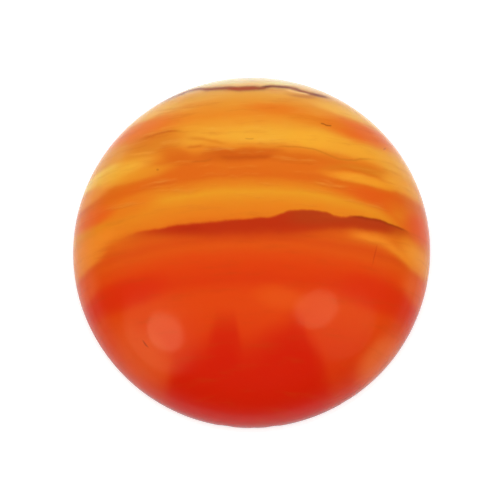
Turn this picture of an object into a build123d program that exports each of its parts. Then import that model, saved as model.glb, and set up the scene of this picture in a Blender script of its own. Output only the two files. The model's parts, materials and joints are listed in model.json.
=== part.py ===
"""Round agate cabochon: one stone, ground flat on its back, domed and polished on top.

The origin is the centre of the flat back, +Z rises through the dome, and the bands of the agate
run across the stone along X.
"""

from build123d import *
import os

# Driving dimensions, in millimetres
diameter = 25.0  # across the girdle, the size that a round setting is made for
thickness = 6.0  # from the flat back to the top of the dome
girdle_height = 0.6  # upright wall between the bevel and the dome, which a bezel grips
back_bevel = 0.35  # narrow 45 degree bevel that takes the sharp edge off the back

# What follows from them
radius = diameter / 2
dome_base = back_bevel + girdle_height

# Weights that make a three-point Bezier curve a true quarter ellipse
quarter_ellipse = (1, 0.5**0.5, 1)

os.makedirs("parts", exist_ok=True)

# The stone is a turned form. Its half section is the flat back, the upright wall and a quarter
# ellipse, so the dome leaves the wall without an edge and is level at its top.
with BuildPart() as cabochon:
    with BuildSketch(Plane.XZ) as half_section:
        with BuildLine():
            back = Line((0, 0), (radius, 0))
            wall = Line(back @ 1, (radius, dome_base))
            dome = Bezier(wall @ 1, (radius, thickness), (0, thickness), weights=quarter_ellipse)
            Line(dome @ 1, back @ 0)
        make_face()
        back_corner = half_section.vertices().group_by(Axis.X)[-1].sort_by(Axis.Y)[0]
        chamfer(back_corner, length=back_bevel)
    revolve(axis=Axis.Z)

cabochon.part.label = "cabochon"
export_step(cabochon.part, "parts/cabochon.step")
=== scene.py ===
import json
import math

import bpy
import numpy as np
from mathutils import Matrix, Vector


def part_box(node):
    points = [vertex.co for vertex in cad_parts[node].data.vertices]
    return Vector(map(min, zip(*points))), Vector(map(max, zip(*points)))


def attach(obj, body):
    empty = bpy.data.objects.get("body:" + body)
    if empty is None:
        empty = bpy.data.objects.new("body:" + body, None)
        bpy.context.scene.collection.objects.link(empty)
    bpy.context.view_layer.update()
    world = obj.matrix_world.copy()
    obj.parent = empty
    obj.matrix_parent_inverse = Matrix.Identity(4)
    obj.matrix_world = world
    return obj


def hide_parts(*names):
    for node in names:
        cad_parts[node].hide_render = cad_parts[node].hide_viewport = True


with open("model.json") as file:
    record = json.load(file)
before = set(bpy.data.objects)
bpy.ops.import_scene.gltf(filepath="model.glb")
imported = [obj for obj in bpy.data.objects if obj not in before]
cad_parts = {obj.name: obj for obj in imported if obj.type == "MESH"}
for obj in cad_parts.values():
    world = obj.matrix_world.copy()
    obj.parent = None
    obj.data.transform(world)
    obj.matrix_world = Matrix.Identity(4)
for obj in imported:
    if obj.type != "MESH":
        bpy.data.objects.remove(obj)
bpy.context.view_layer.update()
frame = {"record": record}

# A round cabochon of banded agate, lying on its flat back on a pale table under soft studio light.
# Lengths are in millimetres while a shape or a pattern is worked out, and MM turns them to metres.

MM = 0.001

# Sizes of the stone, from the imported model
girdle = next(mount for mount in frame["record"]["mounts"] if mount["name"] == "girdle")
radius = girdle["dims"]["r_mm"]
girdle_height = girdle["dims"]["length_mm"]
girdle_middle = girdle["pos_m"][2] / MM
bevel = girdle_middle - girdle_height / 2
dome_base = girdle_middle + girdle_height / 2
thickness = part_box("cabochon")[1].z / MM
dome_rise = thickness - dome_base

# How fine the mesh is
around = 480
back_rings, bevel_rings, wall_rings, dome_rings = 30, 6, 8, 130
corner_rings = 5
corner_round = 0.05  # length of edge that the final polish takes off each side of a corner
wave_height = 0.007  # of the low waves that hand polishing leaves


# --- The stone's surface ---------------------------------------------------------------------


def round_corner(before, corner, after):
    """A short curve in place of a corner: the quadratic curve that leaves the first side a little
    before the corner, joins the second a little after it, and has the corner as its control point."""
    before, corner, after = np.array(before), np.array(corner), np.array(after)
    start = corner + (before - corner) / np.linalg.norm(before - corner) * corner_round
    end = corner + (after - corner) / np.linalg.norm(after - corner) * corner_round
    t = np.linspace(0, 1, corner_rings)[:, None]
    return (1 - t) ** 2 * start + 2 * t * (1 - t) * corner + t**2 * end


def half_section():
    """Radius and height of each ring, from the middle of the back out to the girdle and up the
    quarter ellipse of the dome to its top."""
    middle = (0.0, 0.0)
    back_edge = (radius - bevel, 0.0)
    wall_foot = (radius, bevel)
    wall_top = (radius, dome_base)
    first = round_corner(middle, back_edge, wall_foot)
    second = round_corner(back_edge, wall_foot, wall_top)
    rise = np.linspace(0, math.pi / 2, dome_rings)
    dome = np.stack([radius * np.cos(rise), dome_base + dome_rise * np.sin(rise)], axis=1)
    stretches = [
        np.linspace(middle, first[0], back_rings, endpoint=False),
        first,
        np.linspace(first[-1], second[0], bevel_rings)[1:-1],
        second,
        np.linspace(second[-1], wall_top, wall_rings)[1:-1],
        dome,
    ]
    return np.concatenate(stretches)


def hand_polish(turn, ring_radius, height):
    """How far the hand-held dome strays from true: long low waves, three across the stone and two
    round it, that fade out at the girdle and the back."""
    x = ring_radius * np.cos(turn)
    y = ring_radius * np.sin(turn)
    waves = np.sin(0.55 * x + 0.8) * np.cos(0.48 * y - 0.5) + 0.6 * np.sin(0.9 * y + 0.35 * x)
    on_dome = np.clip((height - dome_base) / dome_rise, 0, 1)
    return wave_height * waves * on_dome


# Small chips in the edge: direction round the stone in degrees, height, width, height of the chip
# and depth
CHIPS = (
    (180.5, 0.75, 0.22, 0.16, 0.07),
    (262.0, 0.40, 0.30, 0.14, 0.09),
    (270.5, 0.50, 0.16, 0.12, 0.06),
    (277.0, 0.38, 0.24, 0.12, 0.08),
    (301.0, 0.36, 0.18, 0.10, 0.06),
    (24.0, 0.42, 0.26, 0.12, 0.07),
    (131.0, 0.36, 0.20, 0.10, 0.06),
)


def chip_depth(turn, height):
    """How much of the edge is missing: each chip is a smooth dent, deepest at its middle."""
    depth = np.zeros(np.broadcast(turn, height).shape)
    for direction, middle, width, tall, deep in CHIPS:
        along = (turn - math.radians(direction) + math.pi) % (2 * math.pi) - math.pi
        depth += deep * np.exp(-((along * radius / width) ** 2) - ((height - middle) / tall) ** 2)
    return depth


def mesh_piece(name, points, faces):
    """A smooth-shaded mesh object from points in millimetres and a list of faces."""
    mesh = bpy.data.meshes.new(name)
    mesh.from_pydata((points * MM).tolist(), [], faces)
    mesh.polygons.foreach_set("use_smooth", [True] * len(mesh.polygons))
    mesh.update()
    piece = bpy.data.objects.new(name, mesh)
    bpy.context.scene.collection.objects.link(piece)
    return piece


def polished_stone():
    """The half section carried round the Z axis. Each pole is one vertex with a fan of triangles."""
    section = half_section()
    turn = np.arange(around) * 2 * math.pi / around
    ring_radius = section[1:-1, 0][:, None]
    height = section[1:-1, 1][:, None]
    reach = ring_radius - chip_depth(turn, height) + 0 * turn
    lift = height + hand_polish(turn, ring_radius, height)
    rings = np.stack([reach * np.cos(turn), reach * np.sin(turn), lift], axis=-1)
    back_pole = np.array([[0.0, 0.0, 0.0]])
    top_pole = np.array([[0.0, 0.0, thickness + hand_polish(0.0, 0.0, thickness)]])
    points = np.concatenate([back_pole, rings.reshape(-1, 3), top_pole])

    count = len(rings)
    here = np.arange(around)
    following = (here + 1) % around
    first = 1 + np.arange(count - 1)[:, None] * around
    quads = np.stack(
        [first + here, first + following, first + around + following, first + around + here], axis=-1
    ).reshape(-1, 4)
    last = 1 + (count - 1) * around
    back_fan = np.stack([np.zeros(around, int), 1 + following, 1 + here], axis=1)
    top_fan = np.stack([last + here, last + following, np.full(around, len(points) - 1)], axis=1)
    return mesh_piece("polished_stone", points, quads.tolist() + back_fan.tolist() + top_fan.tolist())


# --- Shader maths ----------------------------------------------------------------------------


class Value:
    """A number that varies over a surface: a shader socket that Python arithmetic works on."""

    def __init__(self, nodes, socket):
        self.nodes = nodes
        self.socket = socket

    def math(self, operation, *values):
        return self.nodes.add("ShaderNodeMath", {"operation": operation}, dict(enumerate(values)))

    def __add__(self, other):
        return self.math("ADD", self, other)

    def __radd__(self, other):
        return self.math("ADD", other, self)

    def __sub__(self, other):
        return self.math("SUBTRACT", self, other)

    def __rsub__(self, other):
        return self.math("SUBTRACT", other, self)

    def __mul__(self, other):
        return self.math("MULTIPLY", self, other)

    def __rmul__(self, other):
        return self.math("MULTIPLY", other, self)

    def __truediv__(self, other):
        return self.math("DIVIDE", self, other)

    def __neg__(self):
        return self.math("MULTIPLY", self, -1.0)

    def exp(self):
        return self.math("EXPONENT", self)


class Nodes:
    """The node tree of one material or of the world."""

    def __init__(self, owner):
        owner.use_nodes = True
        self.tree = owner.node_tree
        self.tree.nodes.clear()

    def add(self, kind, settings=None, inputs=None, output=0):
        """Adds a node: first its settings, then a number, a colour or a link for each input."""
        node = self.tree.nodes.new(kind)
        for setting, value in (settings or {}).items():
            setattr(node, setting, value)
        self.connect(node, inputs or {})
        return Value(self, node.outputs[output]) if node.outputs else None

    def connect(self, node, inputs):
        for socket, value in inputs.items():
            if isinstance(value, Value):
                self.tree.links.new(value.socket, node.inputs[socket])
            else:
                node.inputs[socket].default_value = value

    def mix(self, factor, first, second):
        """first where factor is 0 and second where it is 1, both colours."""
        settings = {"data_type": "RGBA", "clamp_factor": True}
        return self.add("ShaderNodeMix", settings, {0: factor, 6: first, 7: second}, output=2)

    def step(self, value, start, end):
        """0 up to start, 1 from end on, and smooth between them."""
        settings = {"interpolation_type": "SMOOTHSTEP"}
        inputs = {"Value": value, "From Min": start, "From Max": end}
        return self.add("ShaderNodeMapRange", settings, inputs)

    def noise(self, place, stretch, scale, detail):
        """Noise from 0 to 1 in a place that is first stretched by a factor on each axis."""
        stretched = self.add(
            "ShaderNodeVectorMath", {"operation": "MULTIPLY"}, {0: place, 1: stretch}
        )
        inputs = {"Vector": stretched, "Scale": scale, "Detail": detail, "Roughness": 0.6}
        return self.add("ShaderNodeTexNoise", None, inputs)

    def curve(self, value, points):
        """The smooth curve through a few (value, height) points, level beyond both ends."""
        first, last = points[0][0], points[-1][0]
        lowest = min(height for _, height in points)
        spread = max(height for _, height in points) - lowest or 1.0
        along = self.add(
            "ShaderNodeMapRange", None, {"Value": value, "From Min": first, "From Max": last}
        )
        shaped = self.add("ShaderNodeFloatCurve", None, {"Value": along})
        node = shaped.socket.node
        line = node.mapping.curves[0]
        for _ in points[2:]:
            line.points.new(0.5, 0.5)
        for spot, (place, height) in zip(line.points, points):
            spot.location = ((place - first) / (last - first), (height - lowest) / spread)
            spot.handle_type = "AUTO_CLAMPED"
        node.mapping.update()
        return shaped * spread + lowest

    def ramp(self, value, stops):
        """The colour at value, from (value, colour) stops in rising order."""
        first, last = stops[0][0], stops[-1][0]
        along = self.add(
            "ShaderNodeMapRange", None, {"Value": value, "From Min": first, "From Max": last}
        )
        shaded = self.add("ShaderNodeValToRGB", None, {"Fac": along})
        elements = shaded.socket.node.color_ramp.elements
        for place, colour in stops[1:-1]:
            elements.new((place - first) / (last - first)).color = colour
        elements[0].color = stops[0][1]
        elements[-1].color = stops[-1][1]
        return shaded


def paint(red, green, blue):
    """A colour given as it looks on a screen, 0 to 255, in the linear numbers that shaders use."""

    def linear(level):
        level = level / 255
        return level / 12.92 if level <= 0.04045 else ((level + 0.055) / 1.055) ** 2.4

    return (linear(red), linear(green), linear(blue), 1.0)


# --- The agate -------------------------------------------------------------------------------

# The layers dip away from the crown as they go down: a plane of one layer drops this much in Y for
# each unit of height.
dip = 0.3

# How far noise moves all the bands, and how far it frays the broad ones further
band_drift, band_fray = 0.35, 0.45

# The bands sag towards both sides of the stone: by this much times the square of the distance.
sag = 0.006

# The bands from the red end of the stone to its pale crown: place across the layers, and colour
BANDS = (
    (-13.0, paint(214, 48, 9)),
    (-9.5, paint(220, 56, 10)),
    (-8.0, paint(224, 62, 11)),
    (-6.4, paint(227, 71, 13)),
    (-5.6, paint(227, 71, 12)),
    (-4.6, paint(223, 60, 9)),
    (-3.7, paint(226, 66, 10)),
    (-3.0, paint(227, 74, 12)),
    (-2.4, paint(227, 86, 16)),
    (-1.9, paint(222, 80, 15)),
    (-1.0, paint(226, 102, 20)),
    (-0.3, paint(233, 126, 26)),
    (0.6, paint(234, 137, 29)),
    (1.35, paint(236, 156, 36)),
    (1.9, paint(233, 135, 29)),
    (2.6, paint(226, 108, 21)),
    (3.5, paint(228, 113, 24)),
    (4.2, paint(225, 113, 24)),
    (4.9, paint(236, 142, 37)),
    (5.7, paint(243, 168, 52)),
    (6.6, paint(242, 162, 48)),
    (7.7, paint(239, 142, 40)),
    (8.8, paint(239, 154, 50)),
    (9.7, paint(238, 166, 62)),
    (10.2, paint(238, 172, 84)),
    (10.9, paint(250, 206, 138)),
    (11.6, paint(250, 228, 178)),
    (12.5, paint(244, 232, 206)),
)

# Soft patches of colour, some of them painted light (lamp sheen in the lower red, glow at the left
# rim): middle along and across the bands, half width, half height, turn in degrees, colour and strength
PATCHES_AND_PAINTED_SHEEN = (
    # honey and red lobes beside the crown
    (-7.8, 7.2, 2.8, 1.15, 8, paint(241, 122, 36), 0.88),
    (7.8, 6.9, 2.6, 1.05, -8, paint(237, 106, 25), 0.92),
    (5.0, 7.3, 2.2, 0.50, -4, paint(234, 128, 28), 0.55),
    (1.8, 8.2, 2.2, 0.50, -4, paint(236, 124, 30), 0.75),
    (7.0, 8.7, 2.6, 0.60, -8, paint(251, 186, 74), 0.95),
    (-6.9, 8.9, 2.2, 0.60, 10, paint(250, 186, 88), 0.85),
    # smoky orange on the left, under the lobe
    (-6.8, 5.8, 2.4, 1.1, 4, paint(224, 122, 32), 0.8),
    (-9.9, 5.6, 1.3, 1.0, 20, paint(238, 156, 66), 0.8),
    # the stone's yellow at the upper left rim, painted paler: painted glow of light through the thin
    # edge
    (-10.7, 4.1, 1.7, 0.55, 14, paint(254, 204, 84), 1.0),
    (-9.2, 3.8, 2.4, 0.80, 10, paint(248, 180, 60), 0.92),
    (-7.2, 3.4, 2.2, 0.50, 4, paint(238, 152, 38), 0.8),
    (-11.3, 2.7, 1.5, 0.60, 12, paint(244, 152, 52), 0.8),
    (-9.4, 1.9, 2.4, 0.45, 8, paint(228, 106, 20), 0.8),
    # bright yellow through the middle and out to the right
    (1.0, 5.8, 3.2, 0.75, 0, paint(245, 174, 54), 0.85),
    (4.6, 5.6, 2.2, 0.80, -4, paint(248, 174, 50), 0.9),
    (7.6, 5.1, 2.6, 0.60, -4, paint(246, 168, 50), 0.9),
    (10.4, 4.3, 1.6, 0.70, -10, paint(246, 172, 54), 0.75),
    (8.2, 3.7, 1.8, 0.30, -4, paint(224, 132, 30), 0.6),
    (7.8, 2.9, 2.6, 0.42, -3, paint(245, 160, 42), 0.95),
    (10.6, 3.2, 1.7, 0.65, -14, paint(247, 166, 50), 0.9),
    # burnt orange through the middle
    (-1.0, 4.15, 2.6, 0.55, 0, paint(214, 98, 18), 0.8),
    (-5.0, 4.5, 1.3, 0.65, -24, paint(220, 104, 20), 0.75),
    (-4.4, 3.1, 2.0, 0.60, 0, paint(226, 106, 20), 0.7),
    (3.4, 4.0, 1.4, 0.34, -4, paint(221, 106, 19), 0.65),
    # the yellow band in the middle fades to orange towards both ends
    (-8.8, 1.0, 2.6, 0.8, 4, paint(234, 118, 23), 0.75),
    (-10.8, 0.9, 1.6, 0.70, 10, paint(236, 98, 26), 0.85),
    (-11.3, -1.1, 2.4, 0.70, 14, paint(244, 140, 38), 0.9),
    (11.5, -1.9, 1.3, 0.9, -20, paint(247, 152, 46), 0.95),
    (11.3, -4.0, 1.0, 0.9, -30, paint(236, 100, 30), 0.8),
    (-11.3, -2.0, 1.5, 0.7, 20, paint(246, 144, 42), 0.8),
    (-11.3, -3.9, 1.0, 0.8, 30, paint(234, 92, 26), 0.75),
    (11.7, 0.4, 1.3, 1.2, 0, paint(234, 86, 24), 0.95),
    # reds, and painted reflections: lighter patches where the lamps' glow shows in the polish
    (-8.4, -4.9, 3.0, 1.0, 4, paint(222, 46, 8), 0.9),
    (8.6, -5.0, 2.9, 1.1, -6, paint(223, 50, 9), 0.9),
    # painted reflection: a faint lighter patch where the glow between the two lamps shows in the polish
    (2.0, -5.8, 1.6, 0.70, -6, paint(234, 88, 18), 0.6),
    # painted reflections: lighter orange lobes round the highlights of the left and right lamps
    (-7.4, -8.6, 2.4, 1.3, -38, paint(232, 88, 34), 0.85),
    (9.0, -8.5, 2.2, 0.9, 42, paint(236, 104, 38), 0.95),
)

# Layers with an upper and a lower limit, each given as points along and across the bands: the
# softness of the two limits, length over which the ends fade, colour and strength
LAYERS = (
    # the deep red heart at the front of the stone, with two peaks and a cleft between them
    (
        ((-6.6, -12.6), (-5.5, -10.3), (-5.0, -9.6), (-4.2, -9.1), (-3.0, -8.6), (-2.5, -7.8),
         (-1.9, -7.2), (-1.2, -7.2), (-0.7, -8.1), (-0.3, -8.8), (0.3, -8.6), (1.3, -8.0),
         (2.4, -7.5), (3.1, -7.2), (3.9, -8.0), (4.7, -9.0), (5.3, -10.2), (6.2, -12.6)),
        ((-6.6, -16.0), (6.2, -16.0)),
        2.00, 0.5, 1.6, paint(214, 34, 4), 0.86,
    ),
    # its deepest part
    (
        ((-6.0, -11.8), (-4.6, -9.9), (-3.0, -9.4), (-1.6, -8.6), (-0.2, -9.9), (1.4, -9.0), (3.0, -8.3),
         (4.4, -9.6), (5.6, -11.6)),
        ((-6.0, -16.0), (5.6, -16.0)),
        1.60, 0.5, 1.6, paint(213, 27, 2), 0.7,
    ),
    # the red lobe that comes in from the right edge
    (
        ((4.0, 2.0), (6.0, 2.15), (8.0, 2.25), (9.5, 2.30), (11.0, 1.75), (12.6, 1.2)),
        ((4.0, 1.75), (6.0, 1.35), (8.3, 0.95), (9.6, 0.35), (10.6, -0.4), (12.6, -1.0)),
        0.60, 1.1, 4.2, paint(229, 94, 20), 0.95,
    ),
    # the dark red layer across the middle
    (
        ((-9.4, -1.35), (-8.0, -1.0), (-6.5, -0.86), (-5.0, -0.80), (-3.0, -0.76), (-1.0, -0.65),
         (0.6, -0.52), (1.6, -0.42), (2.2, -0.22), (3.2, 0.10), (4.0, 0.15), (5.2, 0.10),
         (6.2, -0.10), (7.2, 0.05), (8.2, 0.05), (9.4, -0.05), (10.6, -0.16), (11.6, -0.45)),
        ((-9.4, -1.45), (-6.5, -1.35), (-5.0, -1.60), (-3.0, -1.78), (0.0, -1.85), (2.6, -1.78),
         (4.2, -1.50), (5.6, -1.20), (7.0, -1.00), (9.0, -0.85), (11.6, -0.80)),
        0.28, 1.10, 3.0, paint(202, 57, 13), 0.95,
    ),
    # its darker upper part
    (
        ((-7.5, -1.00), (-5.0, -0.86), (-3.0, -0.82), (-1.0, -0.72), (0.6, -0.58), (1.6, -0.48),
         (2.2, -0.28), (3.2, 0.04), (4.0, 0.09), (5.2, 0.04), (6.2, -0.16), (7.2, -0.02),
         (8.2, -0.02), (9.4, -0.12), (10.6, -0.22), (11.4, -0.45)),
        ((-7.5, -1.15), (-5.0, -1.35), (-3.0, -1.50), (-1.0, -1.45), (2.0, -1.35), (4.0, -1.10),
         (6.0, -0.85), (8.0, -0.70), (11.4, -0.70)),
        0.30, 0.90, 2.6, paint(188, 45, 11), 0.75,
    ),
    # its browner right half
    (
        ((1.8, -0.40), (2.2, -0.26), (3.2, 0.07), (4.0, 0.12), (5.2, 0.07), (6.2, -0.13), (7.2, 0.02),
         (8.2, 0.02), (9.4, -0.08), (10.6, -0.18), (11.4, -0.4)),
        ((1.8, -0.90), (4.2, -0.90), (6.8, -0.60), (9.0, -0.55), (11.4, -0.60)),
        0.26, 0.90, 2.0, paint(182, 66, 20), 0.65,
    ),
)

# Thin veins between the bands: points along and across the bands, half width, length over which
# each end fades, colour and strength
VEINS = (
    # the brown seam under the crown, darkest in its middle
    (
        ((-7.4, 10.1), (-6.0, 10.3), (-4.8, 10.6), (-4.0, 10.75), (-3.1, 10.5), (-1.6, 10.4),
         (-0.4, 10.25), (0.5, 10.25), (1.2, 10.5), (1.9, 10.65), (3.0, 10.5), (3.9, 10.2),
         (4.7, 10.1), (6.4, 10.1)),
        0.26, 2.0, paint(150, 64, 18), 0.95,
    ),
    (
        ((-1.9, 10.42), (-0.9, 10.26), (0.5, 10.24), (0.9, 10.4)),
        0.25, 0.8, paint(172, 66, 16), 0.95,
    ),
    (((0.6, 10.45), (1.3, 10.55), (1.9, 10.62), (3.0, 10.5)), 0.08, 0.5, paint(112, 46, 14), 0.9),
    (((4.1, 10.2), (4.9, 10.05), (5.6, 10.05)), 0.14, 0.5, paint(132, 62, 30), 0.85),
    # the pale lens beside it and its shade
    (((2.3, 10.30), (3.0, 10.15), (4.3, 9.95)), 0.12, 0.5, paint(255, 204, 128), 0.9),
    (((2.2, 9.85), (3.4, 9.65), (5.0, 9.75)), 0.20, 1.0, paint(206, 120, 52), 0.75),
    (((0.5, 10.95), (1.4, 11.05), (3.6, 11.0)), 0.16, 0.9, paint(255, 230, 160), 0.85),
    (((-3.6, 11.1), (-2.0, 11.15), (-0.4, 11.1)), 0.16, 1.0, paint(250, 226, 168), 0.75),
    (((-1.2, 11.8), (-0.4, 11.8), (0.4, 11.8)), 0.18, 0.5, paint(206, 192, 172), 0.5),
    # wisps on the left
    (
        ((-8.0, 6.35), (-6.8, 6.5), (-6.0, 6.62), (-5.2, 6.55), (-4.3, 6.3)),
        0.12, 1.2, paint(206, 98, 26), 0.6,
    ),
    (((-8.8, 5.35), (-7.6, 5.15), (-6.2, 5.05)), 0.12, 1.0, paint(244, 164, 60), 0.6),
    (((-4.6, 5.75), (-3.4, 5.65), (-2.2, 5.25), (-1.2, 5.0)), 0.16, 0.9, paint(224, 124, 28), 0.6),
    (((-4.6, 5.1), (-3.7, 5.05), (-2.9, 5.1)), 0.14, 0.6, paint(214, 106, 24), 0.65),
    (((-4.2, 3.85), (-3.2, 3.85), (-2.3, 3.95)), 0.08, 0.5, paint(206, 98, 22), 0.6),
    # the burnt orange streak in the middle
    (
        ((-3.6, 4.95), (-2.2, 4.65), (-1.0, 4.45), (0.4, 4.45), (2.0, 4.5), (2.8, 4.4)),
        0.24, 1.2, paint(214, 100, 20), 0.75,
    ),
    (((-2.4, 4.2), (-1.0, 4.0), (0.4, 4.0), (1.9, 4.15)), 0.16, 0.9, paint(204, 86, 14), 0.8),
    # the fine wavy line on the right
    (
        ((1.2, 4.72), (2.6, 4.86), (4.1, 4.82), (4.8, 4.65), (5.6, 4.38), (6.3, 4.26), (6.8, 4.28),
         (7.6, 4.50), (9.0, 4.78)),
        0.08, 1.4, paint(206, 118, 28), 0.55,
    ),
    (
        ((4.4, 3.2), (6.0, 3.6), (7.0, 3.75), (8.2, 3.75), (9.8, 4.1)),
        0.24, 1.2, paint(222, 124, 28), 0.5,
    ),
    # the darkest edge of the dark layer
    (
        ((6.6, -0.10), (7.4, 0.02), (8.2, 0.02), (9.4, -0.08), (10.4, -0.18), (11.0, -0.28)),
        0.09, 0.8, paint(150, 38, 10), 0.65,
    ),
    (((-5.2, -1.12), (-4.0, -1.10), (-2.8, -1.15)), 0.16, 1.0, paint(182, 40, 8), 0.5),
    # honey streak under the dark layer, bending down to the right edge
    (
        ((6.2, -1.35), (7.6, -1.30), (8.8, -1.42), (10.0, -1.82), (11.0, -2.30), (12.4, -2.85)),
        0.36, 1.8, paint(242, 140, 36), 0.9,
    ),
    # flecks and hair cracks
    (((4.85, 7.14), (5.1, 7.12), (5.3, 7.02), (5.7, 7.08)), 0.06, 0.15, paint(160, 70, 16), 0.9),
    (((-0.35, 5.5), (0.0, 5.47), (0.35, 5.52)), 0.05, 0.15, paint(210, 132, 40), 0.7),
)

# Short cracks that stand across the bands: ends, half width, colour and strength
CRACKS = (
    ((8.62, -1.8), (8.3, -3.1), 0.05, paint(206, 66, 14), 0.7),
    ((-7.25, -7.85), (-6.85, -8.3), 0.05, paint(176, 60, 24), 0.8),
    ((9.45, 6.15), (9.25, 5.8), 0.06, paint(206, 92, 36), 0.7),
    ((-6.4, 3.52), (-6.2, 3.5), 0.09, paint(198, 98, 24), 0.6),
)


def agate_places(nodes):
    """Where a point is in the stone, in millimetres: along the bands, across them and the height."""
    position = nodes.add("ShaderNodeTexCoord", output=3)
    size = {"operation": "SCALE"}
    position = nodes.add("ShaderNodeVectorMath", size, {0: position, 3: 1 / MM})
    along, y, height = [
        nodes.add("ShaderNodeSeparateXYZ", None, {0: position}, output=axis) for axis in range(3)
    ]
    straight = y - dip * (height - dome_base)
    drift = nodes.noise(position, (1, 1, 1), 0.6, 4.0)
    across = straight + band_drift * (drift - 0.5)
    return position, along, across, height


def soft_patch(nodes, place, middle_x, middle_s, half_width, half_height, turn):
    """1 at the middle of a soft-edged ellipse, fading as the bell curve of the distance."""
    inputs = {
        "Vector": place,
        "Location": (middle_x, middle_s, 0.0),
        "Rotation": (0.0, 0.0, math.radians(turn)),
        "Scale": (half_width, half_height, 1.0),
    }
    offset = nodes.add("ShaderNodeMapping", {"vector_type": "TEXTURE"}, inputs)
    squared = nodes.add(
        "ShaderNodeVectorMath", {"operation": "DOT_PRODUCT"}, {0: offset, 1: offset}, output=1
    )
    return (-squared * squared).exp()


def soft_vein(nodes, along, across, points, half_width, fade):
    """1 on the curve through the points, fading across it as a bell curve and along its ends."""
    offset = (across - nodes.curve(along, points)) / half_width
    first, last = points[0][0], points[-1][0]
    ends = nodes.step(along, first, first + fade) * nodes.step(along, last, last - fade)
    return (-offset * offset).exp() * ends


def soft_layer(nodes, along, across, upper, lower, upper_soft, lower_soft, fade):
    """1 between two curves, with a smooth step at each of them and at both ends."""
    below = nodes.step(nodes.curve(along, upper) - across, -upper_soft / 2, upper_soft / 2)
    above = nodes.step(across - nodes.curve(along, lower), -lower_soft / 2, lower_soft / 2)
    first, last = upper[0][0], upper[-1][0]
    ends = nodes.step(along, first, first + fade) * nodes.step(along, last, last - fade)
    return below * above * ends


def short_crack(nodes, place, start, end, half_width):
    """1 along a short straight crack, a long thin soft ellipse from end to end."""
    reach = math.dist(start, end) / 2
    middle = ((start[0] + end[0]) / 2, (start[1] + end[1]) / 2)
    turn = math.degrees(math.atan2(end[1] - start[1], end[0] - start[0]))
    return soft_patch(nodes, place, *middle, reach, half_width, turn)


def agate_colour(nodes, along, across, place):
    """The bands, then all that lies over them, from the broad patches (a few of them painted sheen of
    the lamps and a painted glow at the rim) to the finest cracks.
    """
    streaks = nodes.noise(place, (0.22, 1.0, 0.3), 1.4, 3.5)
    bent = across + sag * (along * along) + band_fray * (streaks - 0.5)
    colour = nodes.ramp(bent, BANDS)
    # patches of colour, a few of them painted reflections of the lamps and a painted glow at the left
    # rim
    for middle_x, middle_s, half_width, half_height, turn, patch_and_sheen_colour, strength in PATCHES_AND_PAINTED_SHEEN:
        mask = soft_patch(nodes, place, middle_x, middle_s, half_width, half_height, turn)
        colour = nodes.mix(strength * mask, colour, patch_and_sheen_colour)
    for upper, lower, upper_soft, lower_soft, fade, layer_colour, strength in LAYERS:
        mask = soft_layer(nodes, along, across, upper, lower, upper_soft, lower_soft, fade)
        colour = nodes.mix(strength * mask, colour, layer_colour)
    for points, half_width, fade, vein_colour, strength in VEINS:
        mask = soft_vein(nodes, along, across, points, half_width, fade)
        colour = nodes.mix(strength * mask, colour, vein_colour)
    for start, end, half_width, crack_colour, strength in CRACKS:
        mask = short_crack(nodes, place, start, end, half_width)
        colour = nodes.mix(strength * mask, colour, crack_colour)

    # wisps along the bands: dark ones and light ones, and faint clouds over all
    dark_wisps = nodes.step(nodes.noise(place, (0.24, 1.4, 0.3), 1.1, 4.0), 0.50, 0.80)
    colour = nodes.mix(0.30 * dark_wisps, colour, paint(196, 70, 12))
    light_wisps = nodes.step(nodes.noise(place, (0.22, 1.2, 0.4), 1.2, 3.0), 0.52, 0.85)
    upper_half = nodes.step(across, -0.5, 2.0)
    colour = nodes.mix(0.35 * light_wisps * upper_half, colour, paint(250, 190, 84))
    return colour


# Roughness of the polished dome, and what smears, the girdle's grain and the lapped back add to it
polish, smear_haze, girdle_haze, lapped_haze = 0.045, 0.05, 0.12, 0.40

# Height of the relief that the bump follows, and the share of it for each finish
relief_height = 0.02
lap_mark_share, grain_share, ripple_share = 0.5, 0.12, 0.25


def agate():
    """Polished agate with banded colour. The dome is glossy, the girdle has a fine grain, and the
    back is only lapped flat, with straight scratches."""
    material = bpy.data.materials.new("agate")
    nodes = Nodes(material)
    position, along, across, height = agate_places(nodes)
    place = nodes.add("ShaderNodeCombineXYZ", None, {0: along, 1: across, 2: 0.0})
    colour = agate_colour(nodes, along, across, place)

    back = nodes.step(height, 0.06, 0.01)
    girdle_band = nodes.step(height, dome_base + 0.15, dome_base - 0.1) * (1 - back)
    smears = nodes.noise(position, (1, 1, 1), 0.35, 3.0)
    roughness = polish + smear_haze * smears + girdle_haze * girdle_band + lapped_haze * back
    lap_marks = nodes.noise(position, (0.25, 9.0, 1.0), 1.2, 3.0)
    grain = nodes.noise(position, (1, 1, 1), 9.0, 2.0)
    ripple = nodes.noise(position, (1, 1, 1), 0.9, 2.0)
    relief = (
        lap_mark_share * lap_marks * back
        + grain_share * grain * girdle_band
        + ripple_share * ripple * (1 - back)
    )
    bump = nodes.add(
        "ShaderNodeBump", None, {"Strength": 1.0, "Distance": relief_height * MM, "Height": relief}
    )
    shader = nodes.add(
        "ShaderNodeBsdfPrincipled", None,
        {
            "Base Color": colour,
            "Roughness": roughness,
            "IOR": 1.54,
            "Normal": bump,
            "Subsurface Weight": 0.3,
            "Subsurface Radius": (1.0, 0.4, 0.12),
            "Subsurface Scale": 1.2 * MM,
        },
    )
    nodes.add("ShaderNodeOutputMaterial", None, {"Surface": shader})
    return material


stone = polished_stone()
stone.data.materials.append(agate())
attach(stone, "root")
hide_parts("cabochon")


# --- Table, light and camera -----------------------------------------------------------------


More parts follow.
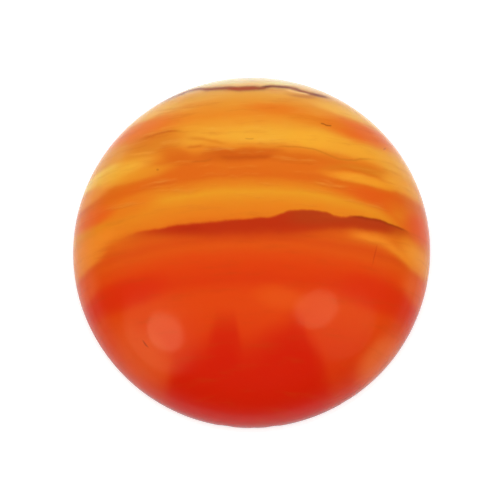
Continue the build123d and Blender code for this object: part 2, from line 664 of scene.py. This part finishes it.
def table_top():
    """A white table. The polish reflects it as if it were lit best behind the stone and less
    towards the front and further off. The camera sees it brighter than it is, so that it reads as
    plain white and keeps the shadow."""
    half = 2500.0
    corners = np.array([[-half, -half, 0], [half, -half, 0], [half, half, 0], [-half, half, 0]])
    table = mesh_piece("table", corners, [(0, 1, 2, 3)])
    material = bpy.data.materials.new("white_table")
    nodes = Nodes(material)
    position = nodes.add("ShaderNodeTexCoord", output=3)
    y = nodes.add("ShaderNodeSeparateXYZ", None, {0: position}, output=1) / MM
    distance = (
        nodes.add("ShaderNodeVectorMath", {"operation": "LENGTH"}, {0: position}, output=1) / MM
    )
    towards_back = nodes.step(y, -1.2 * radius, 0.9 * radius)
    far_off = nodes.step(distance, radius, 3.5 * radius)
    in_polish = nodes.add("ShaderNodeLightPath", output=3)
    front_level, back_level, far_loss = 0.48, 0.98, 0.5
    white_cloth = 0.85
    lit = (front_level + (back_level - front_level) * towards_back) * (1 - far_loss * far_off)
    pale = white_cloth + in_polish * (lit - white_cloth)
    colour = nodes.add("ShaderNodeCombineColor", None, {0: pale, 1: pale, 2: pale})
    diffuse = nodes.add("ShaderNodeBsdfDiffuse", None, {"Color": colour})
    seen = nodes.add("ShaderNodeLightPath", output=0)
    near = nodes.step(distance, 1.6 * radius, radius)
    glow = 0.40 * seen + in_polish * near * (0.13 + 0.26 * towards_back)
    light = nodes.add("ShaderNodeEmission", None, {"Color": (1, 1, 1, 1), "Strength": glow})
    surface = nodes.add("ShaderNodeAddShader", None, {0: diffuse, 1: light})
    nodes.add("ShaderNodeOutputMaterial", None, {"Surface": surface})
    table.data.materials.append(material)


# Bright places in the cloth roof: middle, half width, half height, turn in degrees and radiance
LAMPS = (
    (-225, -152, 94, 54, 40, 1.20),  # the lamp on the left
    (-400, -285, 345, 155, 40, 0.36),  # the lit cloth around it
    (118, -68, 54, 42, -20, 0.90),  # the lamp on the right
    (300, -195, 250, 105, -37, 0.26),  # the lit cloth around it
    (49, -38, 28, 20, 0, 0.10),  # a faint patch between them
)


def tent_roof():
    """The cloth over the table, 300 mm up, seen only by the polish: two soft lamps shine through
    it, one on each side, and it is dark towards the front, where the camera stands."""
    height, half = 300.0, 900.0
    edge_start, edge_end = 0.15, 0.75
    corners = np.array([[-half, half, 0], [half, half, 0], [half, -half, 0], [-half, -half, 0]])
    corners = corners + [0, 0, height]
    roof = mesh_piece("tent_roof", corners, [(0, 1, 2, 3)])
    material = bpy.data.materials.new("lamp_cloth")
    nodes = Nodes(material)
    position = nodes.add("ShaderNodeTexCoord", output=3)
    flatten = (1 / MM, 1 / MM, 0.0)
    place = nodes.add("ShaderNodeVectorMath", {"operation": "MULTIPLY"}, {0: position, 1: flatten})
    total = 0.0
    for x, y, half_width, half_height, turn, radiance in LAMPS:
        spot = soft_patch(nodes, place, x, y, half_width, half_height, turn)
        total = nodes.step(spot, edge_start, edge_end) * radiance + total
    glow = nodes.add("ShaderNodeEmission", None, {"Color": paint(255, 222, 176), "Strength": total})
    clear = nodes.add("ShaderNodeBsdfTransparent")
    surface = nodes.add("ShaderNodeAddShader", None, {0: clear, 1: glow})
    nodes.add("ShaderNodeOutputMaterial", None, {"Surface": surface})
    roof.data.materials.append(material)
    roof.visible_camera = False
    roof.visible_diffuse = False
    roof.visible_shadow = False


def soft_light():
    """Even light from above, as through a large white cloth. It is too wide to make a highlight."""
    lamp = bpy.data.lights.new("overhead_cloth", "SUN")
    lamp.energy = 3.2
    lamp.angle = math.radians(110)
    light = bpy.data.objects.new("overhead_cloth", lamp)
    light.visible_glossy = False
    bpy.context.scene.collection.objects.link(light)


def surroundings():
    """A white room to the camera. To the stone it is dim overhead and lighter near the horizon."""
    world = bpy.data.worlds.new("white_room")
    bpy.context.scene.world = world
    nodes = Nodes(world)
    direction = nodes.add("ShaderNodeTexCoord", output=0)
    backward = nodes.add("ShaderNodeSeparateXYZ", None, {0: direction}, output=1)
    upward = nodes.add("ShaderNodeSeparateXYZ", None, {0: direction}, output=2)
    horizon = (-(upward * upward) * 22.0).exp()
    seen = nodes.add("ShaderNodeLightPath", output=0)
    dim = 0.03 + (0.31 + 0.19 * backward) * horizon
    strength = seen + (1 - seen) * dim
    light = nodes.add("ShaderNodeBackground", None, {"Color": (1, 1, 1, 1), "Strength": strength})
    nodes.add("ShaderNodeOutputWorld", None, {"Surface": light})


def camera():
    """A long lens almost straight above the stone, leaning a little to the front."""
    azimuth, elevation = math.radians(7.1), math.radians(76.9)
    frame_width = 35.3 * MM
    aim = Vector((-0.11, 0.14, 0.0)) * MM
    lens = bpy.data.cameras.new("camera")
    lens.lens = 120
    lens.sensor_width = 36
    lens.clip_start = 0.001
    distance = frame_width * lens.lens / lens.sensor_width
    back = Vector(
        (
            math.sin(azimuth) * math.cos(elevation),
            -math.cos(azimuth) * math.cos(elevation),
            math.sin(elevation),
        )
    )
    right = Vector((0, 1, 0)).cross(back).normalized()
    up = back.cross(right)
    view = bpy.data.objects.new("camera", lens)
    view.matrix_world = Matrix.Translation(aim + back * distance) @ Matrix(
        (right, up, back)
    ).transposed().to_4x4()
    bpy.context.scene.collection.objects.link(view)
    bpy.context.scene.camera = view


table_top()
tent_roof()
soft_light()
surroundings()
camera()
bpy.context.scene.view_settings.view_transform = "Standard"
